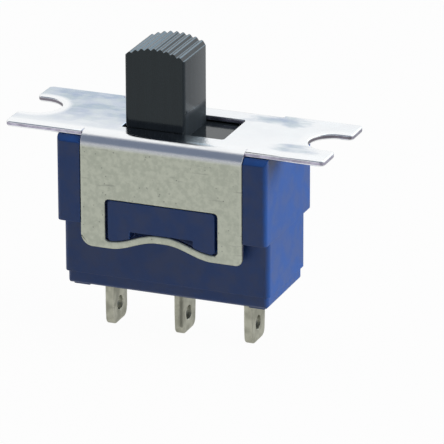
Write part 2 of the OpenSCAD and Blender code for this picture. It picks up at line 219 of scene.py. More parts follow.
def grained(tree, where, grains, patches):
    """Places the grain effect and returns its mottle and relief."""
    node = place(tree, "ShaderNodeGroup", node_tree=SURFACE_GRAIN)
    tree.links.new(where, node.inputs["Position"])
    node.inputs["Grains per m"].default_value = grains
    node.inputs["Patches per m"].default_value = patches
    return node.outputs["Mottle"], node.outputs["Relief"]


def rubbed(tree, reach, strength):
    """Places the edge effect and returns its mask."""
    node = place(tree, "ShaderNodeGroup", node_tree=RUBBED_EDGE)
    node.inputs["Reach"].default_value = reach
    node.inputs["Strength"].default_value = strength
    return node.outputs["Edge"]


def raised(tree, shader, relief, height):
    """Feeds a relief to the shader's normal."""
    bump = place(tree, "ShaderNodeBump", {"Height": relief, "Distance": height, "Strength": 1.0})
    tree.links.new(bump.outputs["Normal"], shader.inputs["Normal"])


def blue_thermoset():
    """Dark blue, faintly mottled, with a fine dull grain."""
    material, tree, shader, where = finish_material("blue_thermoset", specular_ior_level=0.55)
    mottle, relief = grained(tree, where, grains=11000.0, patches=900.0)
    tree.links.new(tinted(tree, mottle, CASE_DEEP_BLUE, CASE_BLUE), shader.inputs["Base Color"])
    tree.links.new(between(tree, mottle, *CASE_ROUGH), shader.inputs["Roughness"])
    raised(tree, shader, relief, height=0.004 * MM)
    return material


def corner_share(middle, run):
    """Full rounding on the case's four upright corners, little elsewhere, none around its feet."""
    if abs(middle.z - CASE_UNDERSIDE) < FOOT_H / 3:
        return 0.0
    upright = abs(run.z) > 0.9 * run.length
    outside = abs(middle.x) > CORNER_X and abs(middle.y) > CORNER_Y
    return 1.0 if upright and outside else OTHER_EDGES


case = rounded(copied_solid("case", "case_moulding"), CASE_CORNER, steps=4, share=corner_share)
case.data.materials.append(blue_thermoset())
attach(case, "housing")
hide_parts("case")


# ---------- terminals ----------
# Three blades stamped from tinned brass, pressed through the case's floor from below. Each has a
# rounded tip and a solder hole; inside, the outer two end in contact tabs and the middle one in
# the prongs that carry the rocker.

BLADE_ROUNDING = 0.07 * MM
ROUNDED_BELOW = CASE_UNDERSIDE + 0.15 * MM
TIN = (0.50, 0.50, 0.41, 1)
TIN_DULL = (0.37, 0.37, 0.30, 1)
TIN_BRIGHT = (0.70, 0.69, 0.59, 1)
TIN_ROUGH = (0.55, 0.43)


def dull_tin():
    """Grey tin, mottled, and brighter where its edges are rubbed."""
    material, tree, shader, where = finish_material("dull_tin", metallic=1.0)
    mottle, relief = grained(tree, where, grains=7000.0, patches=1100.0)
    colour = tinted(tree, mottle, TIN_DULL, TIN)
    colour = tinted(tree, rubbed(tree, reach=0.12 * MM, strength=0.7), colour, TIN_BRIGHT)
    tree.links.new(colour, shader.inputs["Base Color"])
    tree.links.new(between(tree, mottle, *TIN_ROUGH), shader.inputs["Roughness"])
    raised(tree, shader, relief, height=0.006 * MM)
    return material


DULL_TIN = dull_tin()
for place_in_row in ("left", "common", "right"):
    blade = rounded(copied_solid("terminal_" + place_in_row, "blade_" + place_in_row),
                    BLADE_ROUNDING, share=lambda middle, run: middle.z < ROUNDED_BELOW)
    blade.data.materials.append(DULL_TIN)
    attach(blade, "housing")
    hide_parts("terminal_" + place_in_row)


# ---------- contacts and rocker ----------
# Four silver rivets, two set on the outer terminals and two upset through the arms of the rocker,
# a silver-plated brass strip that tips on the middle terminal. They keep the shape of their solids.

SILVER = (0.86, 0.86, 0.84, 1)
SILVER_TARNISH = (0.62, 0.58, 0.50, 1)
PLATED_BRASS = (0.78, 0.70, 0.50, 1)
PLATED_BRASS_DULL = (0.60, 0.52, 0.36, 1)


def inner_metal(name, bright, dull, roughness):
    """Clean metal, a little tarnished and rougher in patches."""
    material, tree, shader, where = finish_material(name, metallic=1.0)
    mottle, relief = grained(tree, where, grains=8000.0, patches=1500.0)
    tree.links.new(tinted(tree, mottle, dull, bright), shader.inputs["Base Color"])
    tree.links.new(between(tree, mottle, roughness, roughness - 0.1), shader.inputs["Roughness"])
    raised(tree, shader, relief, height=0.003 * MM)
    return material


def refinish(nodes, material):
    """Gives CAD nodes a material in every slot."""
    for name in nodes:
        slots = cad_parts[name].data.materials
        slots.clear()
        slots.append(material)


refinish(["fixed_contact_left", "fixed_contact_right", "rocker_contact_left",
          "rocker_contact_right"], inner_metal("contact_silver", SILVER, SILVER_TARNISH, 0.32))
refinish(["rocker"], inner_metal("plated_brass", PLATED_BRASS, PLATED_BRASS_DULL, 0.36))


# ---------- plunger and spring ----------
# A round-tipped brass pin is pushed on the rocker by a coil of steel wire. Both sit in the bore
# of the slider's barrel. The real coil shortens as the pin is pushed in; this one is built at one
# length.

BRASS = (0.83, 0.64, 0.30, 1)
BRASS_DULL = (0.60, 0.44, 0.20, 1)
WIRE_STEEL = (0.60, 0.61, 0.63, 1)
WIRE_STEEL_DULL = (0.40, 0.40, 0.42, 1)
WIRE_D = 0.22 * MM
WIRE_SIDES = 10
SPRING_TURNS = 8
STEPS_PER_TURN = 28


def coil_tree():
    """A wire swept along a helix, closed at both ends."""
    tree = bpy.data.node_groups.new("wire_coil", "GeometryNodeTree")
    face = tree.interface
    for label, kind in (("Coil Radius", "Float"), ("Wire Radius", "Float"), ("Turns", "Float"),
                        ("Low End", "Float"), ("Length", "Float"), ("Offset", "Float"),
                        ("Wire", "Material")):
        face.new_socket(label, in_out="INPUT", socket_type="NodeSocket" + kind)
    face.new_socket("Geometry", in_out="OUTPUT", socket_type="NodeSocketGeometry")
    given = tree.nodes.new("NodeGroupInput").outputs
    helix = place(tree, "GeometryNodeCurveSpiral",
                  {"Resolution": STEPS_PER_TURN, "Rotations": given["Turns"],
                   "Start Radius": given["Coil Radius"], "End Radius": given["Coil Radius"],
                   "Height": given["Length"]}).outputs["Curve"]
    section = place(tree, "GeometryNodeCurvePrimitiveCircle",
                    {"Resolution": WIRE_SIDES, "Radius": given["Wire Radius"]}).outputs["Curve"]
    wire = place(tree, "GeometryNodeCurveToMesh",
                 {"Curve": helix, "Profile Curve": section, "Fill Caps": True}).outputs["Mesh"]
    lift = place(tree, "ShaderNodeCombineXYZ", {"X": given["Offset"], "Z": given["Low End"]})
    moved = place(tree, "GeometryNodeTransform",
                  {"Geometry": wire, "Translation": lift.outputs[0]}).outputs["Geometry"]
    solid = place(tree, "GeometryNodeRealizeInstances", {"Geometry": moved}).outputs[0]
    done = place(tree, "GeometryNodeSetMaterial",
                 {"Geometry": solid, "Material": given["Wire"]}).outputs[0]
    place(tree, "NodeGroupOutput", {"Geometry": done})
    return tree


def grown(name, tree, **sizes):
    """The plain mesh that a Geometry Nodes tree makes with these sizes."""
    seed = bpy.data.objects.new(name + "_seed", bpy.data.meshes.new(name + "_seed"))
    scene.collection.objects.link(seed)
    nodes = seed.modifiers.new("shape", "NODES")
    nodes.node_group = tree
    for item in tree.interface.items_tree:
        if item.in_out == "INPUT" and item.name.replace(" ", "_").lower() in sizes:
            nodes[item.identifier] = sizes[item.name.replace(" ", "_").lower()]
    bpy.context.view_layer.update()
    evaluated = seed.evaluated_get(bpy.context.evaluated_depsgraph_get())
    mesh = bpy.data.meshes.new_from_object(evaluated)
    mesh.name = name
    bpy.data.objects.remove(seed)
    piece = bpy.data.objects.new(name, mesh)
    scene.collection.objects.link(piece)
    return piece


spring_low, spring_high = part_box("spring")
spring = grown(
    "detent_spring", coil_tree(),
    coil_radius=(spring_high.y - spring_low.y) / 2 - WIRE_D / 2, wire_radius=WIRE_D / 2,
    turns=SPRING_TURNS, low_end=spring_low.z + WIRE_D / 2,
    length=spring_high.z - spring_low.z - WIRE_D, offset=(spring_high.x + spring_low.x) / 2,
    wire=inner_metal("spring_wire", WIRE_STEEL, WIRE_STEEL_DULL, 0.3))
spring.data.shade_smooth()
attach(spring, "slider")
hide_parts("spring")
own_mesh(spring)

refinish(["plunger"], inner_metal("turned_brass", BRASS, BRASS_DULL, 0.28))


# ---------- slider ----------
# The slider is moulded in glossy black plastic in one piece: a tall knob with a crowned top and
# ridges across it, a flange that shields the slot from below, and a barrel with the spring's bore.

KNOB_L, KNOB_W, KNOB_TOP = 4.0 * MM, 3.75 * MM, 5.3 * MM
KNOB_CORNER = 0.22 * MM
CORNER_ROWS = 5
CROWN_COLUMNS = 151
CROWN_RISE = 0.55 * MM
RIDGES = 9
RIDGE_DEPTH = 0.13 * MM
RIDGE_PITCH = 0.4267 * MM
FLANGE_TOP = -0.40 * MM
FLANGE_T = 0.85 * MM
BARREL_D = 2.9 * MM
BORE_D = 1.6 * MM
BORE_TOP = 1.2 * MM
BARREL_SIDES = 64
KNOB_SEAM = 0.002 * MM
POLISHED_FROM = 4.4 * MM
DULL_BELOW = 1.4 * MM
KNOB_BLACK = (0.0066, 0.0085, 0.0104, 1)
KNOB_GREY = (0.0102, 0.0133, 0.0166, 1)
KNOB_ROUGH = (0.105, 0.135)
DULL_ROUGHER = 0.55
POLISH_COAT = 0.15


def slider_tree():
    """Knob with ridges cut across its crown, joined to flange and barrel, and bored."""
    tree = bpy.data.node_groups.new("ridged_slider", "GeometryNodeTree")
    face = tree.interface
    for label, kind in (("Knob Length", "Float"), ("Knob Width", "Float"), ("Corner", "Float"),
                        ("Top", "Float"), ("Crown Rise", "Float"), ("Ridge Pitch", "Float"),
                        ("Ridge Depth", "Float"), ("Ridges", "Float"),
                        ("Flange Length", "Float"), ("Flange Width", "Float"),
                        ("Flange Top", "Float"), ("Flange Thickness", "Float"),
                        ("Barrel Diameter", "Float"), ("Barrel Low", "Float"),
                        ("Bore Diameter", "Float"), ("Bore Top", "Float"),
                        ("Rest Place", "Float"), ("Plastic", "Material")):
        face.new_socket(label, in_out="INPUT", socket_type="NodeSocket" + kind)
    face.new_socket("Geometry", in_out="OUTPUT", socket_type="NodeSocketGeometry")
    given = tree.nodes.new("NodeGroupInput").outputs

    def half(value):
        return sum_of(tree, "MULTIPLY", value, 0.5)

    sheet = place(tree, "GeometryNodeMeshGrid",
                  {"Size X": given["Knob Length"], "Size Y": 2.0 * CORNER_ROWS + 1.0,
                   "Vertices X": CROWN_COLUMNS,
                   "Vertices Y": 2 * CORNER_ROWS + 2}).outputs["Mesh"]
    grid = place(tree, "ShaderNodeSeparateXYZ",
                 {0: place(tree, "GeometryNodeInputPosition").outputs[0]}).outputs
    # rows past the straight part turn round the corner's quarter circle
    turn = sum_of(tree, "MULTIPLY", math.pi / 2 / CORNER_ROWS,
                  sum_of(tree, "SUBTRACT", sum_of(tree, "ABSOLUTE", grid["Y"]), 0.5))
    out_y = sum_of(tree, "MULTIPLY_ADD", sum_of(tree, "SINE", turn), given["Corner"],
                   sum_of(tree, "SUBTRACT", half(given["Knob Width"]), given["Corner"]))
    row_y = sum_of(tree, "MULTIPLY", out_y, sum_of(tree, "SIGN", grid["Y"]))
    reach = sum_of(tree, "MULTIPLY_ADD", sum_of(tree, "COSINE", turn), given["Corner"],
                   sum_of(tree, "SUBTRACT", half(given["Knob Length"]), given["Corner"]))
    row_x = sum_of(tree, "MAXIMUM", sum_of(tree, "MINIMUM", grid["X"], reach),
                   sum_of(tree, "MULTIPLY", reach, -1.0))
    base_z = sum_of(tree, "SUBTRACT", given["Flange Top"], half(given["Flange Thickness"]))
    flat = place(tree, "GeometryNodeSetPosition",
                 {"Geometry": sheet,
                  "Position": place(tree, "ShaderNodeCombineXYZ",
                                    {"X": row_x, "Y": row_y, "Z": base_z}).outputs[0]}).outputs[0]
    under = place(tree, "GeometryNodeFlipFaces", {"Mesh": flat}).outputs[0]
    lifted = place(tree, "GeometryNodeExtrudeMesh",
                   {"Mesh": flat, "Offset": (0.0, 0.0, MM), "Individual": False})
    # the crown is part of a wide circle; the ridges stand between rounded furrows
    here = place(tree, "ShaderNodeSeparateXYZ",
                 {0: place(tree, "GeometryNodeInputPosition").outputs[0]}).outputs
    reach_2 = sum_of(tree, "POWER", half(given["Knob Length"]), 2.0)
    radius = sum_of(tree, "DIVIDE",
                    sum_of(tree, "ADD", reach_2, sum_of(tree, "POWER", given["Crown Rise"], 2.0)),
                    sum_of(tree, "MULTIPLY", given["Crown Rise"], 2.0))
    crown = sum_of(tree, "SUBTRACT",
                   sum_of(tree, "SQRT", sum_of(tree, "SUBTRACT",
                                               sum_of(tree, "POWER", radius, 2.0),
                                               sum_of(tree, "POWER", here["X"], 2.0))), radius)
    along = sum_of(tree, "DIVIDE", here["X"], given["Ridge Pitch"])
    furrow = sum_of(tree, "PINGPONG",
                    sum_of(tree, "ADD", along, half(given["Ridges"])), 0.5)
    cut = place(tree, "ShaderNodeMapRange",
                {"Value": furrow, "From Min": 0.0, "From Max": 0.45,
                 "To Min": given["Ridge Depth"], "To Max": 0.0},
                interpolation_type="SMOOTHSTEP").outputs[0]
    top_z = sum_of(tree, "ADD", given["Top"], sum_of(tree, "SUBTRACT", crown, cut))
    block = place(tree, "GeometryNodeSetPosition",
                  {"Geometry": lifted.outputs["Mesh"], "Selection": lifted.outputs["Top"],
                   "Position": place(tree, "ShaderNodeCombineXYZ",
                                     {"X": here["X"], "Y": here["Y"], "Z": top_z}).outputs[0]})
    shell = place(tree, "GeometryNodeJoinGeometry")
    tree.links.new(under, shell.inputs[0])
    tree.links.new(block.outputs[0], shell.inputs[0])
    knob = place(tree, "GeometryNodeMergeByDistance",
                 {"Geometry": shell.outputs[0], "Distance": KNOB_SEAM}).outputs[0]

    flange = place(tree, "GeometryNodeMeshCube",
                   {"Size": place(tree, "ShaderNodeCombineXYZ",
                                  {"X": given["Flange Length"], "Y": given["Flange Width"],
                                   "Z": given["Flange Thickness"]}).outputs[0]}).outputs["Mesh"]
    flange = place(tree, "GeometryNodeTransform",
                   {"Geometry": flange,
                    "Translation": place(tree, "ShaderNodeCombineXYZ",
                                         {"Z": base_z}).outputs[0]}).outputs[0]

    def post(diameter, low, high):
        length = sum_of(tree, "SUBTRACT", high, low)
        rod = place(tree, "GeometryNodeMeshCylinder",
                    {"Vertices": BARREL_SIDES, "Radius": half(diameter),
                     "Depth": length}).outputs["Mesh"]
        middle = half(sum_of(tree, "ADD", low, high))
        return place(tree, "GeometryNodeTransform",
                     {"Geometry": rod,
                      "Translation": place(tree, "ShaderNodeCombineXYZ",
                                           {"Z": middle}).outputs[0]}).outputs[0]

    barrel = post(given["Barrel Diameter"], given["Barrel Low"], base_z)
    below = sum_of(tree, "SUBTRACT", given["Barrel Low"], MM)
    bore = post(given["Bore Diameter"], below, given["Bore Top"])
    whole = place(tree, "GeometryNodeMeshBoolean", operation="UNION", solver="EXACT")
    for part in (knob, flange, barrel):
        tree.links.new(part, whole.inputs["Mesh 2"])
    bored = place(tree, "GeometryNodeMeshBoolean", operation="DIFFERENCE", solver="EXACT")
    tree.links.new(whole.outputs["Mesh"], bored.inputs["Mesh 1"])
    tree.links.new(bore, bored.inputs["Mesh 2"])
    placed = place(tree, "GeometryNodeTransform",
                   {"Geometry": bored.outputs["Mesh"],
                    "Translation": place(tree, "ShaderNodeCombineXYZ",
                                         {"X": given["Rest Place"]}).outputs[0]}).outputs[0]
    solid = place(tree, "GeometryNodeRealizeInstances", {"Geometry": placed}).outputs[0]
    done = place(tree, "GeometryNodeSetMaterial",
                 {"Geometry": solid, "Material": given["Plastic"]}).outputs[0]
    place(tree, "NodeGroupOutput", {"Geometry": done})
    return tree


def black_plastic():
    """Glossy black with fine upright lines, polished on top and dull low on its two ends."""
    material, tree, shader, where = finish_material(
        "black_plastic", specular_ior_level=0.42, specular_tint=(0.80, 0.94, 1.0, 1),
        coat_roughness=0.08)
    at = place(tree, "ShaderNodeSeparateXYZ", {0: where}).outputs
    flattened = place(tree, "ShaderNodeMapping", {0: where, 3: (1.0, 1.0, 0.04)}).outputs[0]
    lines, relief = grained(tree, flattened, grains=6000.0, patches=4500.0)
    tree.links.new(tinted(tree, lines, KNOB_BLACK, KNOB_GREY), shader.inputs["Base Color"])
    facing = place(tree, "ShaderNodeSeparateXYZ",
                   {0: place(tree, "ShaderNodeNewGeometry").outputs["Normal"]}).outputs
    dull = sum_of(tree, "MULTIPLY", fade(tree, sum_of(tree, "ABSOLUTE", facing["X"]), 0.7, 0.9),
                  fade(tree, at["Z"], DULL_BELOW, DULL_BELOW - 0.6 * MM))
    tree.links.new(sum_of(tree, "MULTIPLY_ADD", dull, DULL_ROUGHER,
                          between(tree, lines, *KNOB_ROUGH)), shader.inputs["Roughness"])
    polish = sum_of(tree, "MULTIPLY", fade(tree, facing["Z"], 0.2, 0.45),
                    fade(tree, at["Z"], POLISHED_FROM, POLISHED_FROM + 0.1 * MM))
    tree.links.new(sum_of(tree, "MULTIPLY", polish, POLISH_COAT), shader.inputs["Coat Weight"])
    raised(tree, shader, relief, height=0.0008 * MM)
    return material


slider_low, slider_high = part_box("slider")
slider = grown(
    "ridged_slider", slider_tree(), knob_length=KNOB_L, knob_width=KNOB_W, corner=KNOB_CORNER,
    top=KNOB_TOP, crown_rise=CROWN_RISE, ridge_pitch=RIDGE_PITCH, ridge_depth=RIDGE_DEPTH,
    ridges=float(RIDGES), flange_length=slider_high.x - slider_low.x,
    flange_width=slider_high.y - slider_low.y, flange_top=FLANGE_TOP, flange_thickness=FLANGE_T,
    barrel_diameter=BARREL_D, barrel_low=slider_low.z, bore_diameter=BORE_D, bore_top=BORE_TOP,
    rest_place=(slider_low.x + slider_high.x) / 2, plastic=black_plastic())
slider.data.shade_smooth()
slider.data.set_sharp_from_angle(angle=math.radians(32))
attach(slider, "slider")
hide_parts("slider")


# ---------- frame ----------
# The frame is one stamping from tinned steel sheet: the plate with an open screw notch in each ear
# and the knob's slot, and a flap folded down at front and back. The strap under each window is
# pressed up against the case's boss. The plate is bright; the flaps are rubbed dull.

SHEET_T = 0.35 * MM
PLATE_L, PLATE_W = 21.2 * MM, 7.15 * MM
EAR_CORNER = 0.35 * MM
NOTCH_D = 3.0 * MM
NOTCH_X = PLATE_L / 2 - 0.75 * MM
SLOT_L, SLOT_W, SLOT_R = 6.76 * MM, 3.87 * MM, 0.15 * MM
FLAP_L, FLAP_DROP = 10.8 * MM, 7.45 * MM
FLAP_LEFT_R, FLAP_RIGHT_R = 0.8 * MM, 0.45 * MM
BEND_R = 0.9 * MM
BEND_FROM = 3.05 * MM
BEND_TO = BEND_FROM + BEND_R * math.pi / 2
BEND_STEPS = 12
TEAR = 0.04 * MM
WINDOW_L, WINDOW_TOP, WINDOW_R = 7.5 * MM, 4.2 * MM, 0.25 * MM
STRAP_H, STRAP_RISE = 0.5 * MM, 0.75 * MM
STRAP_FLAT, STRAP_RUN = 0.5 * MM, 3.2 * MM
STRAP_STEPS = 24
BLANK_SEAM = 0.001 * MM
FRAME_ROUNDING = 0.09 * MM
PLATE_BRIGHT = (0.92, 0.935, 0.945, 1)
# colours of the plate's painted bluish reflection
PLATE_REFLECTION_BLUE = (0.33, 0.42, 0.57, 1)
PLATE_REFLECTION_GREEN = (0.45, 0.54, 0.60, 1)
FLAP_GREY = (0.425, 0.450, 0.375, 1)
# the flap's paler mottle, also used for the painted highlight at its ends
FLAP_PALE_AND_HIGHLIGHT = (0.545, 0.568, 0.476, 1)
FLAP_SPECK = (0.24, 0.25, 0.22, 1)
# colour of the painted shade on the walls inside the notches
NOTCH_PAINTED_SHADE = (0.25, 0.23, 0.27, 1)
CUT_STEEL = (0.60, 0.57, 0.69, 1)
CUT_STEEL_DARK = (0.34, 0.32, 0.40, 1)
PLATE_ROUGH, FLAP_ROUGH = 0.16, 0.44
CUT_ROUGH = (0.34, 0.44)
# strength of the plate's painted reflection on the right, at the front and in its thin streaks, and
# its two spots
RIGHT_REFLECTION, FRONT_REFLECTION, THIN_REFLECTION = 0.13, 0.4, 0.7
SPOT_DEPTH = 0.9
REFLECTION_SPOTS = ((5.4, 2.5, (2.7, 1.0)), (8.0, -2.0, (1.9, 0.75)))


def spot(tree, at, ragged, x, y, reach):
    """1 at a place of the plate, given in mm, falling to 0 at its ragged edge."""
    gaps = [sum_of(tree, "POWER", sum_of(tree, "DIVIDE",
                                         sum_of(tree, "SUBTRACT", at[axis], middle * MM),
                                         half * MM), 2.0)
            for axis, middle, half in (("X", x, reach[0]), ("Y", y, reach[1]))]
    return fade(tree, sum_of(tree, "MULTIPLY_ADD", ragged, 3.0, sum_of(tree, "ADD", *gaps)),
                2.8, 1.3)


def plate_colour(tree, where, at, mottle):
    """Bright tin with a painted bluish reflection on the left and in two spots on the right, but
    not along its rims.
    """
    across, along = (sum_of(tree, "ABSOLUTE", at[axis]) for axis in "YX")
    # rims: the plate's front edge and round the notches, kept free of the painted reflection
    from_side = fade(tree, at["Y"], -2.5 * MM, -3.0 * MM)
    offset = sum_of(tree, "SUBTRACT", along, NOTCH_X)
    from_notch = sum_of(tree, "SQRT", sum_of(
        tree, "ADD", sum_of(tree, "MULTIPLY", offset, offset),
        sum_of(tree, "MULTIPLY", across, across)))
    rim = sum_of(tree, "MAXIMUM", from_side,
                 fade(tree, from_notch, NOTCH_D / 2 + 0.8 * MM, NOTCH_D / 2 + 0.3 * MM))
    # less painted reflection on the right and towards the front
    painted_reflection = between(tree, fade(tree, at["X"], -1.0 * MM, -3.5 * MM), RIGHT_REFLECTION, 1.0)
    painted_reflection = sum_of(tree, "MULTIPLY", painted_reflection,
                  between(tree, fade(tree, at["Y"], -2.6 * MM, 0.6 * MM), FRONT_REFLECTION, 1.0))
    painted_reflection = sum_of(tree, "MULTIPLY", painted_reflection, sum_of(tree, "SUBTRACT", 1.0, rim))
    streaks = place(tree, "ShaderNodeMapping", {0: where, 3: (1.0, 2.2, 1.0)}).outputs[0]
    patches = place(tree, "ShaderNodeTexNoise",
                    {"Vector": streaks, "Scale": 420.0, "Detail": 4.0}).outputs["Fac"]
    # two spots of painted reflection on the right
    for x, y, reach in REFLECTION_SPOTS:
        painted_reflection = sum_of(tree, "MAXIMUM", painted_reflection, sum_of(
            tree, "MULTIPLY", spot(tree, at, patches, x, y, reach), SPOT_DEPTH))
    # the painted reflection thins out in ragged streaks
    painted_reflection = sum_of(tree, "MULTIPLY", painted_reflection,
                  between(tree, fade(tree, patches, 0.60, 0.42), THIN_REFLECTION, 1.0))
    return tinted(tree, painted_reflection, PLATE_BRIGHT, tinted(tree, mottle, PLATE_REFLECTION_BLUE, PLATE_REFLECTION_GREEN))


def flap_colour(tree, where, at, mottle):
    """Rubbed grey tin, finely mottled, with a painted highlight at the flap's ends, and with specks
    and long scuffs.
    """
    fine_mottle = grained(tree, where, grains=9000.0, patches=3200.0)[0]
    mixed = sum_of(tree, "MULTIPLY_ADD", mottle, 0.35,
                   sum_of(tree, "MULTIPLY", fine_mottle, 0.65))
    flap = tinted(tree, mixed, FLAP_GREY, FLAP_PALE_AND_HIGHLIGHT)
    along = sum_of(tree, "ABSOLUTE", at["X"])
    # painted highlight along both ends of the flap
    flap = tinted(tree, fade(tree, along, FLAP_L / 2 - 0.25 * MM, FLAP_L / 2 - 0.07 * MM),
                  flap, FLAP_PALE_AND_HIGHLIGHT)
    specks = place(tree, "ShaderNodeTexVoronoi", {"Vector": where, "Scale": 2600.0}).outputs[0]
    flap = tinted(tree, fade(tree, specks, 0.16, 0.05), flap, FLAP_SPECK)
    strokes = place(tree, "ShaderNodeMapping", {0: where, 3: (0.12, 1.0, 1.0)}).outputs[0]
    scuffs = place(tree, "ShaderNodeTexNoise",
                   {"Vector": strokes, "Scale": 3800.0, "Detail": 2.0}).outputs["Fac"]
    return tinted(tree, sum_of(tree, "MULTIPLY", fade(tree, scuffs, 0.62, 0.78), 0.55),
                  flap, FLAP_SPECK)


def tinned_steel():
    """The sheet's two faces: bright on the plate, rougher and duller from the bends down."""
    material, tree, shader, where = finish_material("tinned_steel", metallic=1.0)
    at = place(tree, "ShaderNodeSeparateXYZ", {0: where}).outputs
    mottle, relief = grained(tree, where, grains=6000.0, patches=800.0)
    on_flap = fade(tree, at["Z"], -0.6 * MM, -0.95 * MM)
    tree.links.new(tinted(tree, on_flap, plate_colour(tree, where, at, mottle),
                          flap_colour(tree, where, at, mottle)), shader.inputs["Base Color"])
    rough = between(tree, on_flap, PLATE_ROUGH, FLAP_ROUGH)
    tree.links.new(sum_of(tree, "MULTIPLY_ADD", mottle, 0.08, rough), shader.inputs["Roughness"])
    raised(tree, shader, relief, height=0.004 * MM)
    return material


def cut_steel():
    """The sheet's sheared edges, with painted shade on the walls inside the notches."""
    material, tree, shader, where = finish_material("cut_steel", metallic=1.0)
    mottle, relief = grained(tree, where, grains=9000.0, patches=1800.0)
    at = place(tree, "ShaderNodeSeparateXYZ", {0: where}).outputs
    across, along = (sum_of(tree, "ABSOLUTE", at[axis]) for axis in "YX")
    # painted shade on the notch walls
    notch_shade = sum_of(tree, "MULTIPLY",
                      fade(tree, across, NOTCH_D / 2 + 0.25 * MM, NOTCH_D / 2 + 0.05 * MM),
                      fade(tree, along, 8.0 * MM, 8.2 * MM))
    colour = tinted(tree, mottle, CUT_STEEL_DARK, CUT_STEEL)
    tree.links.new(tinted(tree, notch_shade, colour, NOTCH_PAINTED_SHADE), shader.inputs["Base Color"])
    tree.links.new(between(tree, mottle, *CUT_ROUGH), shader.inputs["Roughness"])
    raised(tree, shader, relief, height=0.004 * MM)
    return material


def bow(centre, radius, start, end, steps=8):
    """Points on part of a circle, from one angle to the other in degrees."""
    return [(centre[0] + radius * math.cos(math.radians(start + (end - start) * i / steps)),
             centre[1] + radius * math.sin(math.radians(start + (end - start) * i / steps)))
            for i in range(steps + 1)]


def strap_line(low_line):
    """The strap's curve from left to right, over a straight line of the blank."""
    reach = STRAP_FLAT / 2 + STRAP_RUN
    points = []
    for i in range(-STRAP_STEPS, STRAP_STEPS + 1):
        x = reach * i / STRAP_STEPS
        t = min(max((abs(x) - STRAP_FLAT / 2) / STRAP_RUN, 0), 1)
        points.append((x, low_line - STRAP_RISE * (1 + math.cos(math.pi * t)) / 2))
    return points


def mirrored(points):
    """The same outline on the other side of the plate's long middle line."""
    return [(x, -y) for x, y in points[::-1]]


def plate_outline():
    """The plate with its ears, as far as the lines where the bends start."""
    tip, side, end = PLATE_L / 2, PLATE_W / 2, FLAP_L / 2
    notch_r = NOTCH_D / 2
    right = bow((NOTCH_X, 0), notch_r, 180, 90, 20) \
        + bow((tip - EAR_CORNER, notch_r + EAR_CORNER), EAR_CORNER, -90, 0) \
        + bow((tip - EAR_CORNER, side - EAR_CORNER), EAR_CORNER, 0, 90) \
        + [(end + TEAR, side), (end + TEAR, BEND_FROM), (end, BEND_FROM)]
    upper = right + [(-x, y) for x, y in right[::-1]]
    return upper + mirrored(upper)[1:-1]


def slot_outline():
    """The rectangular slot for the knob, with rounded corners."""
    points = []
    for turn, (sx, sy) in enumerate(((1, 1), (-1, 1), (-1, -1), (1, -1))):
        points += bow((sx * (SLOT_L / 2 - SLOT_R), sy * (SLOT_W / 2 - SLOT_R)), SLOT_R,
                      90 * turn, 90 * turn + 90, 5)
    return points


def flap_outline(low):
    """The back flap on the flat blank, as far as the line where its bend ends."""
    end = FLAP_L / 2
    return [(end, BEND_TO)] \
        + bow((end - FLAP_RIGHT_R, low - FLAP_RIGHT_R), FLAP_RIGHT_R, 0, 90) \
        + strap_line(low)[::-1] \
        + bow((FLAP_LEFT_R - end, low - FLAP_LEFT_R), FLAP_LEFT_R, 90, 180, 12) \
        + [(-end, BEND_TO)]


def window_outline(low):
    """That flap's window, whose lower side follows the strap."""
    far, near, half = low - STRAP_H, low - FLAP_DROP + WINDOW_TOP, WINDOW_L / 2 - WINDOW_R
    strap = [point for point in strap_line(far)[::-1] if abs(point[0]) < half]
    return bow((half, near + WINDOW_R), WINDOW_R, -90, 0, 6) \
        + bow((half, far - WINDOW_R), WINDOW_R, 0, 90, 6) \
        + strap \
        + bow((-half, far - WINDOW_R), WINDOW_R, 90, 180, 6) \
        + bow((-half, near + WINDOW_R), WINDOW_R, 180, 270, 6)


def fold(corner):
    """Where a point of the flat blank lies once both flaps are bent down."""
    run = abs(corner.y) - BEND_FROM
    if run <= 0 or abs(corner.x) > FLAP_L / 2 + TEAR / 2:
        return
    turned = min(run / BEND_R, math.pi / 2)
    corner.y = math.copysign(BEND_FROM + BEND_R * math.sin(turned), corner.y)
    corner.z = -BEND_R * (1 - math.cos(turned)) - (run - turned * BEND_R)


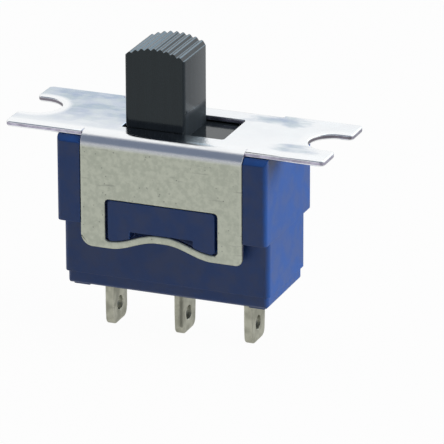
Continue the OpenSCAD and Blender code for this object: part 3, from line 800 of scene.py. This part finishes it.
def folded_sheet(name):
    """The frame's outer face, flat at first, then folded and given its thickness."""
    shape = bmesh.new()

    def filled(*outlines):
        edges = []
        for outline in outlines:
            corners = [shape.verts.new((x, y, 0)) for x, y in outline]
            edges += [shape.edges.new(pair) for pair in zip(corners, corners[1:] + corners[:1])]
        bmesh.ops.triangle_fill(shape, use_beauty=True, edges=edges, normal=(0, 0, 1))

    low = BEND_TO + FLAP_DROP - BEND_R
    filled(plate_outline(), slot_outline())
    filled(flap_outline(low), window_outline(low))
    filled(mirrored(flap_outline(low)), mirrored(window_outline(low)))
    for side in (1, -1):
        rows = [[shape.verts.new((x, side * (BEND_FROM + (BEND_TO - BEND_FROM) * i / BEND_STEPS),
                                  0)) for x in (-FLAP_L / 2, FLAP_L / 2)]
                for i in range(BEND_STEPS + 1)]
        for one, other in zip(rows, rows[1:]):
            shape.faces.new((one[0], one[1], other[1], other[0]))
    bmesh.ops.remove_doubles(shape, verts=shape.verts, dist=BLANK_SEAM)
    for corner in shape.verts:
        fold(corner.co)
    bmesh.ops.dissolve_limit(shape, angle_limit=SAME_PLANE, verts=shape.verts, edges=shape.edges)
    bmesh.ops.recalc_face_normals(shape, faces=shape.faces)
    if sum(face.normal.z * face.calc_area() for face in shape.faces) < 0:
        bmesh.ops.reverse_faces(shape, faces=shape.faces)
    mesh = bpy.data.meshes.new(name)
    shape.to_mesh(mesh)
    shape.free()
    sheet = bpy.data.objects.new(name, mesh)
    scene.collection.objects.link(sheet)
    for finish in (tinned_steel(), cut_steel()):
        mesh.materials.append(finish)
    wall = sheet.modifiers.new("thickness", "SOLIDIFY")
    wall.thickness = SHEET_T
    wall.offset = -1
    wall.use_even_offset = True
    wall.material_offset_rim = 1
    bpy.context.view_layer.update()
    solid = bpy.data.meshes.new_from_object(
        sheet.evaluated_get(bpy.context.evaluated_depsgraph_get()))
    sheet.modifiers.clear()
    sheet.data = solid
    return sheet


def away_from_tears(middle, run):
    """No rounding beside the short cuts between the ears and the bends."""
    return abs(abs(middle.x) - FLAP_L / 2) > 2 * TEAR or middle.z < -SHEET_T


folded = rounded(folded_sheet("folded_frame"), FRAME_ROUNDING, sharper_than=50,
                 share=away_from_tears)
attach(folded, "housing")
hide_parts("frame")


# ---------- studio ----------
# A pale floor under the blade tips, soft lamps at the right, at the left, above and behind, and
# soft light all round.

FLOOR_GAP = 0.02 * MM
FLOOR_SIZE = 2.0
FLOOR_GREY = (0.26, 0.26, 0.26, 1)
FLOOR_SEEN = 0.97
GLOSS_IN_FRONT, GLOSS_BEHIND = 0.90, 0.38
GLOSS_AT_CORNER = 0.25
SKY_LIGHT = 0.09
FRONT_LOW = (0.52, 0.53, 0.56, 1)
FRONT_HIGH = (0.18, 0.21, 0.28, 1)


def pale_floor():
    """A plain floor that looks near white, keeps shadows, and can be seen through from below."""
    material = bpy.data.materials.new("pale_floor")
    material.use_nodes = True
    tree = material.node_tree
    shader = tree.nodes["Principled BSDF"]
    shader.inputs["Base Color"].default_value = FLOOR_GREY
    shader.inputs["Roughness"].default_value = 0.9
    path = place(tree, "ShaderNodeLightPath").outputs
    at = place(tree, "ShaderNodeSeparateXYZ",
               {0: place(tree, "ShaderNodeTexCoord").outputs["Object"]}).outputs
    # gloss sees it brightest in front, dimmer behind, and dim in front at the right
    bright = between(tree, fade(tree, at["Y"], 20.0 * MM, -15.0 * MM),
                     GLOSS_BEHIND, GLOSS_IN_FRONT)
    corner = sum_of(tree, "MULTIPLY", fade(tree, at["X"], 6.0 * MM, 22.0 * MM),
                    fade(tree, at["Y"], 6.0 * MM, -6.0 * MM))
    bright = sum_of(tree, "MULTIPLY", bright, between(tree, corner, 1.0, GLOSS_AT_CORNER))
    seen = sum_of(tree, "MAXIMUM", sum_of(tree, "MULTIPLY", path["Is Camera Ray"], FLOOR_SEEN),
                  sum_of(tree, "MULTIPLY", path["Is Glossy Ray"], bright))
    glow = place(tree, "ShaderNodeEmission", {"Color": (1, 1, 1, 1), "Strength": 1.0}).outputs[0]
    mixed = place(tree, "ShaderNodeMixShader", {0: seen, 1: shader.outputs[0], 2: glow})
    clear = place(tree, "ShaderNodeBsdfTransparent").outputs[0]
    below = place(tree, "ShaderNodeNewGeometry").outputs["Backfacing"]
    cover = place(tree, "ShaderNodeMixShader", {0: below, 1: mixed.outputs[0], 2: clear})
    tree.links.new(cover.outputs[0], tree.nodes["Material Output"].inputs["Surface"])
    return material


def lamp(name, place_at, size, watts):
    """A round soft lamp aimed at the middle of the plate."""
    light = bpy.data.lights.new(name, "AREA")
    light.shape = "DISK"
    light.size = size
    light.energy = watts
    thing = bpy.data.objects.new(name, light)
    thing.matrix_world = (Matrix.Translation(place_at)
                          @ (-Vector(place_at)).to_track_quat("-Z", "Y").to_matrix().to_4x4())
    scene.collection.objects.link(thing)
    return thing


floor_mesh = bpy.data.meshes.new("floor")
half_floor = FLOOR_SIZE / 2
floor_z = cad_box[0][2] - FLOOR_GAP
floor_mesh.from_pydata([(-half_floor, -half_floor, floor_z), (half_floor, -half_floor, floor_z),
                        (half_floor, half_floor, floor_z), (-half_floor, half_floor, floor_z)],
                       [], [(0, 1, 2, 3)])
floor_mesh.materials.append(pale_floor())
floor = bpy.data.objects.new("floor", floor_mesh)
scene.collection.objects.link(floor)

lamp("right_lamp", (0.26, 0.02, 0.10), size=0.16, watts=1.35).visible_glossy = False
lamp("left_lamp", (-0.26, 0.04, 0.06), size=0.16, watts=0.3).visible_glossy = False
lamp("top_lamp", (-0.02, 0.03, 0.30), size=0.20, watts=0.6).visible_glossy = False
lamp("back_lamp", (0.03, 0.25, 0.20), size=0.20, watts=0.2).data.color = (0.55, 0.80, 1.0)

world = bpy.data.worlds.new("studio")
scene.world = world
world.use_nodes = True
sky = world.node_tree
ray = place(sky, "ShaderNodeLightPath").outputs
towards = place(sky, "ShaderNodeSeparateXYZ",
                {0: place(sky, "ShaderNodeTexCoord").outputs["Generated"]}).outputs
# what metal and gloss show is dim in front of the object, pale elsewhere
front = sum_of(sky, "MULTIPLY", fade(sky, towards["Y"], 0.1, -0.3), ray["Is Glossy Ray"])
high = fade(sky, towards["Z"], 0.1, 0.42)
shown = sum_of(sky, "MAXIMUM", ray["Is Camera Ray"],
               sum_of(sky, "MAXIMUM", ray["Is Glossy Ray"], ray["Is Transmission Ray"]))
sky.links.new(tinted(sky, front, (1, 1, 1, 1), tinted(sky, high, FRONT_LOW, FRONT_HIGH)),
              sky.nodes["Background"].inputs["Color"])
sky.links.new(between(sky, shown, SKY_LIGHT, 1.0), sky.nodes["Background"].inputs["Strength"])

# the camera stands in front, to the right and above, with a long lens
AZIMUTH, ELEVATION, ROLL = math.radians(21.644), math.radians(20.577), math.radians(-0.172)
DISTANCE = 301.554 * MM
LENS_MM, SENSOR_MM = 393.04, 36.0
AIM_RIGHT, AIM_UP = 2.363 * MM, -6.153 * MM
back = Vector((math.sin(AZIMUTH) * math.cos(ELEVATION),
               -math.cos(AZIMUTH) * math.cos(ELEVATION), math.sin(ELEVATION)))
level = Vector((math.cos(AZIMUTH), math.sin(AZIMUTH), 0))
upright = back.cross(level)
right = math.cos(ROLL) * level + math.sin(ROLL) * upright
up = math.cos(ROLL) * upright - math.sin(ROLL) * level
camera_data = bpy.data.cameras.new("camera")
camera_data.lens = LENS_MM
camera_data.sensor_width = SENSOR_MM
camera_data.clip_start, camera_data.clip_end = 0.01, 10
camera = bpy.data.objects.new("camera", camera_data)
camera.matrix_world = Matrix.Translation(AIM_RIGHT * right + AIM_UP * up + DISTANCE * back) \
    @ Matrix((right, up, back)).transposed().to_4x4()
scene.collection.objects.link(camera)
scene.camera = camera
scene.view_settings.view_transform = "Standard"
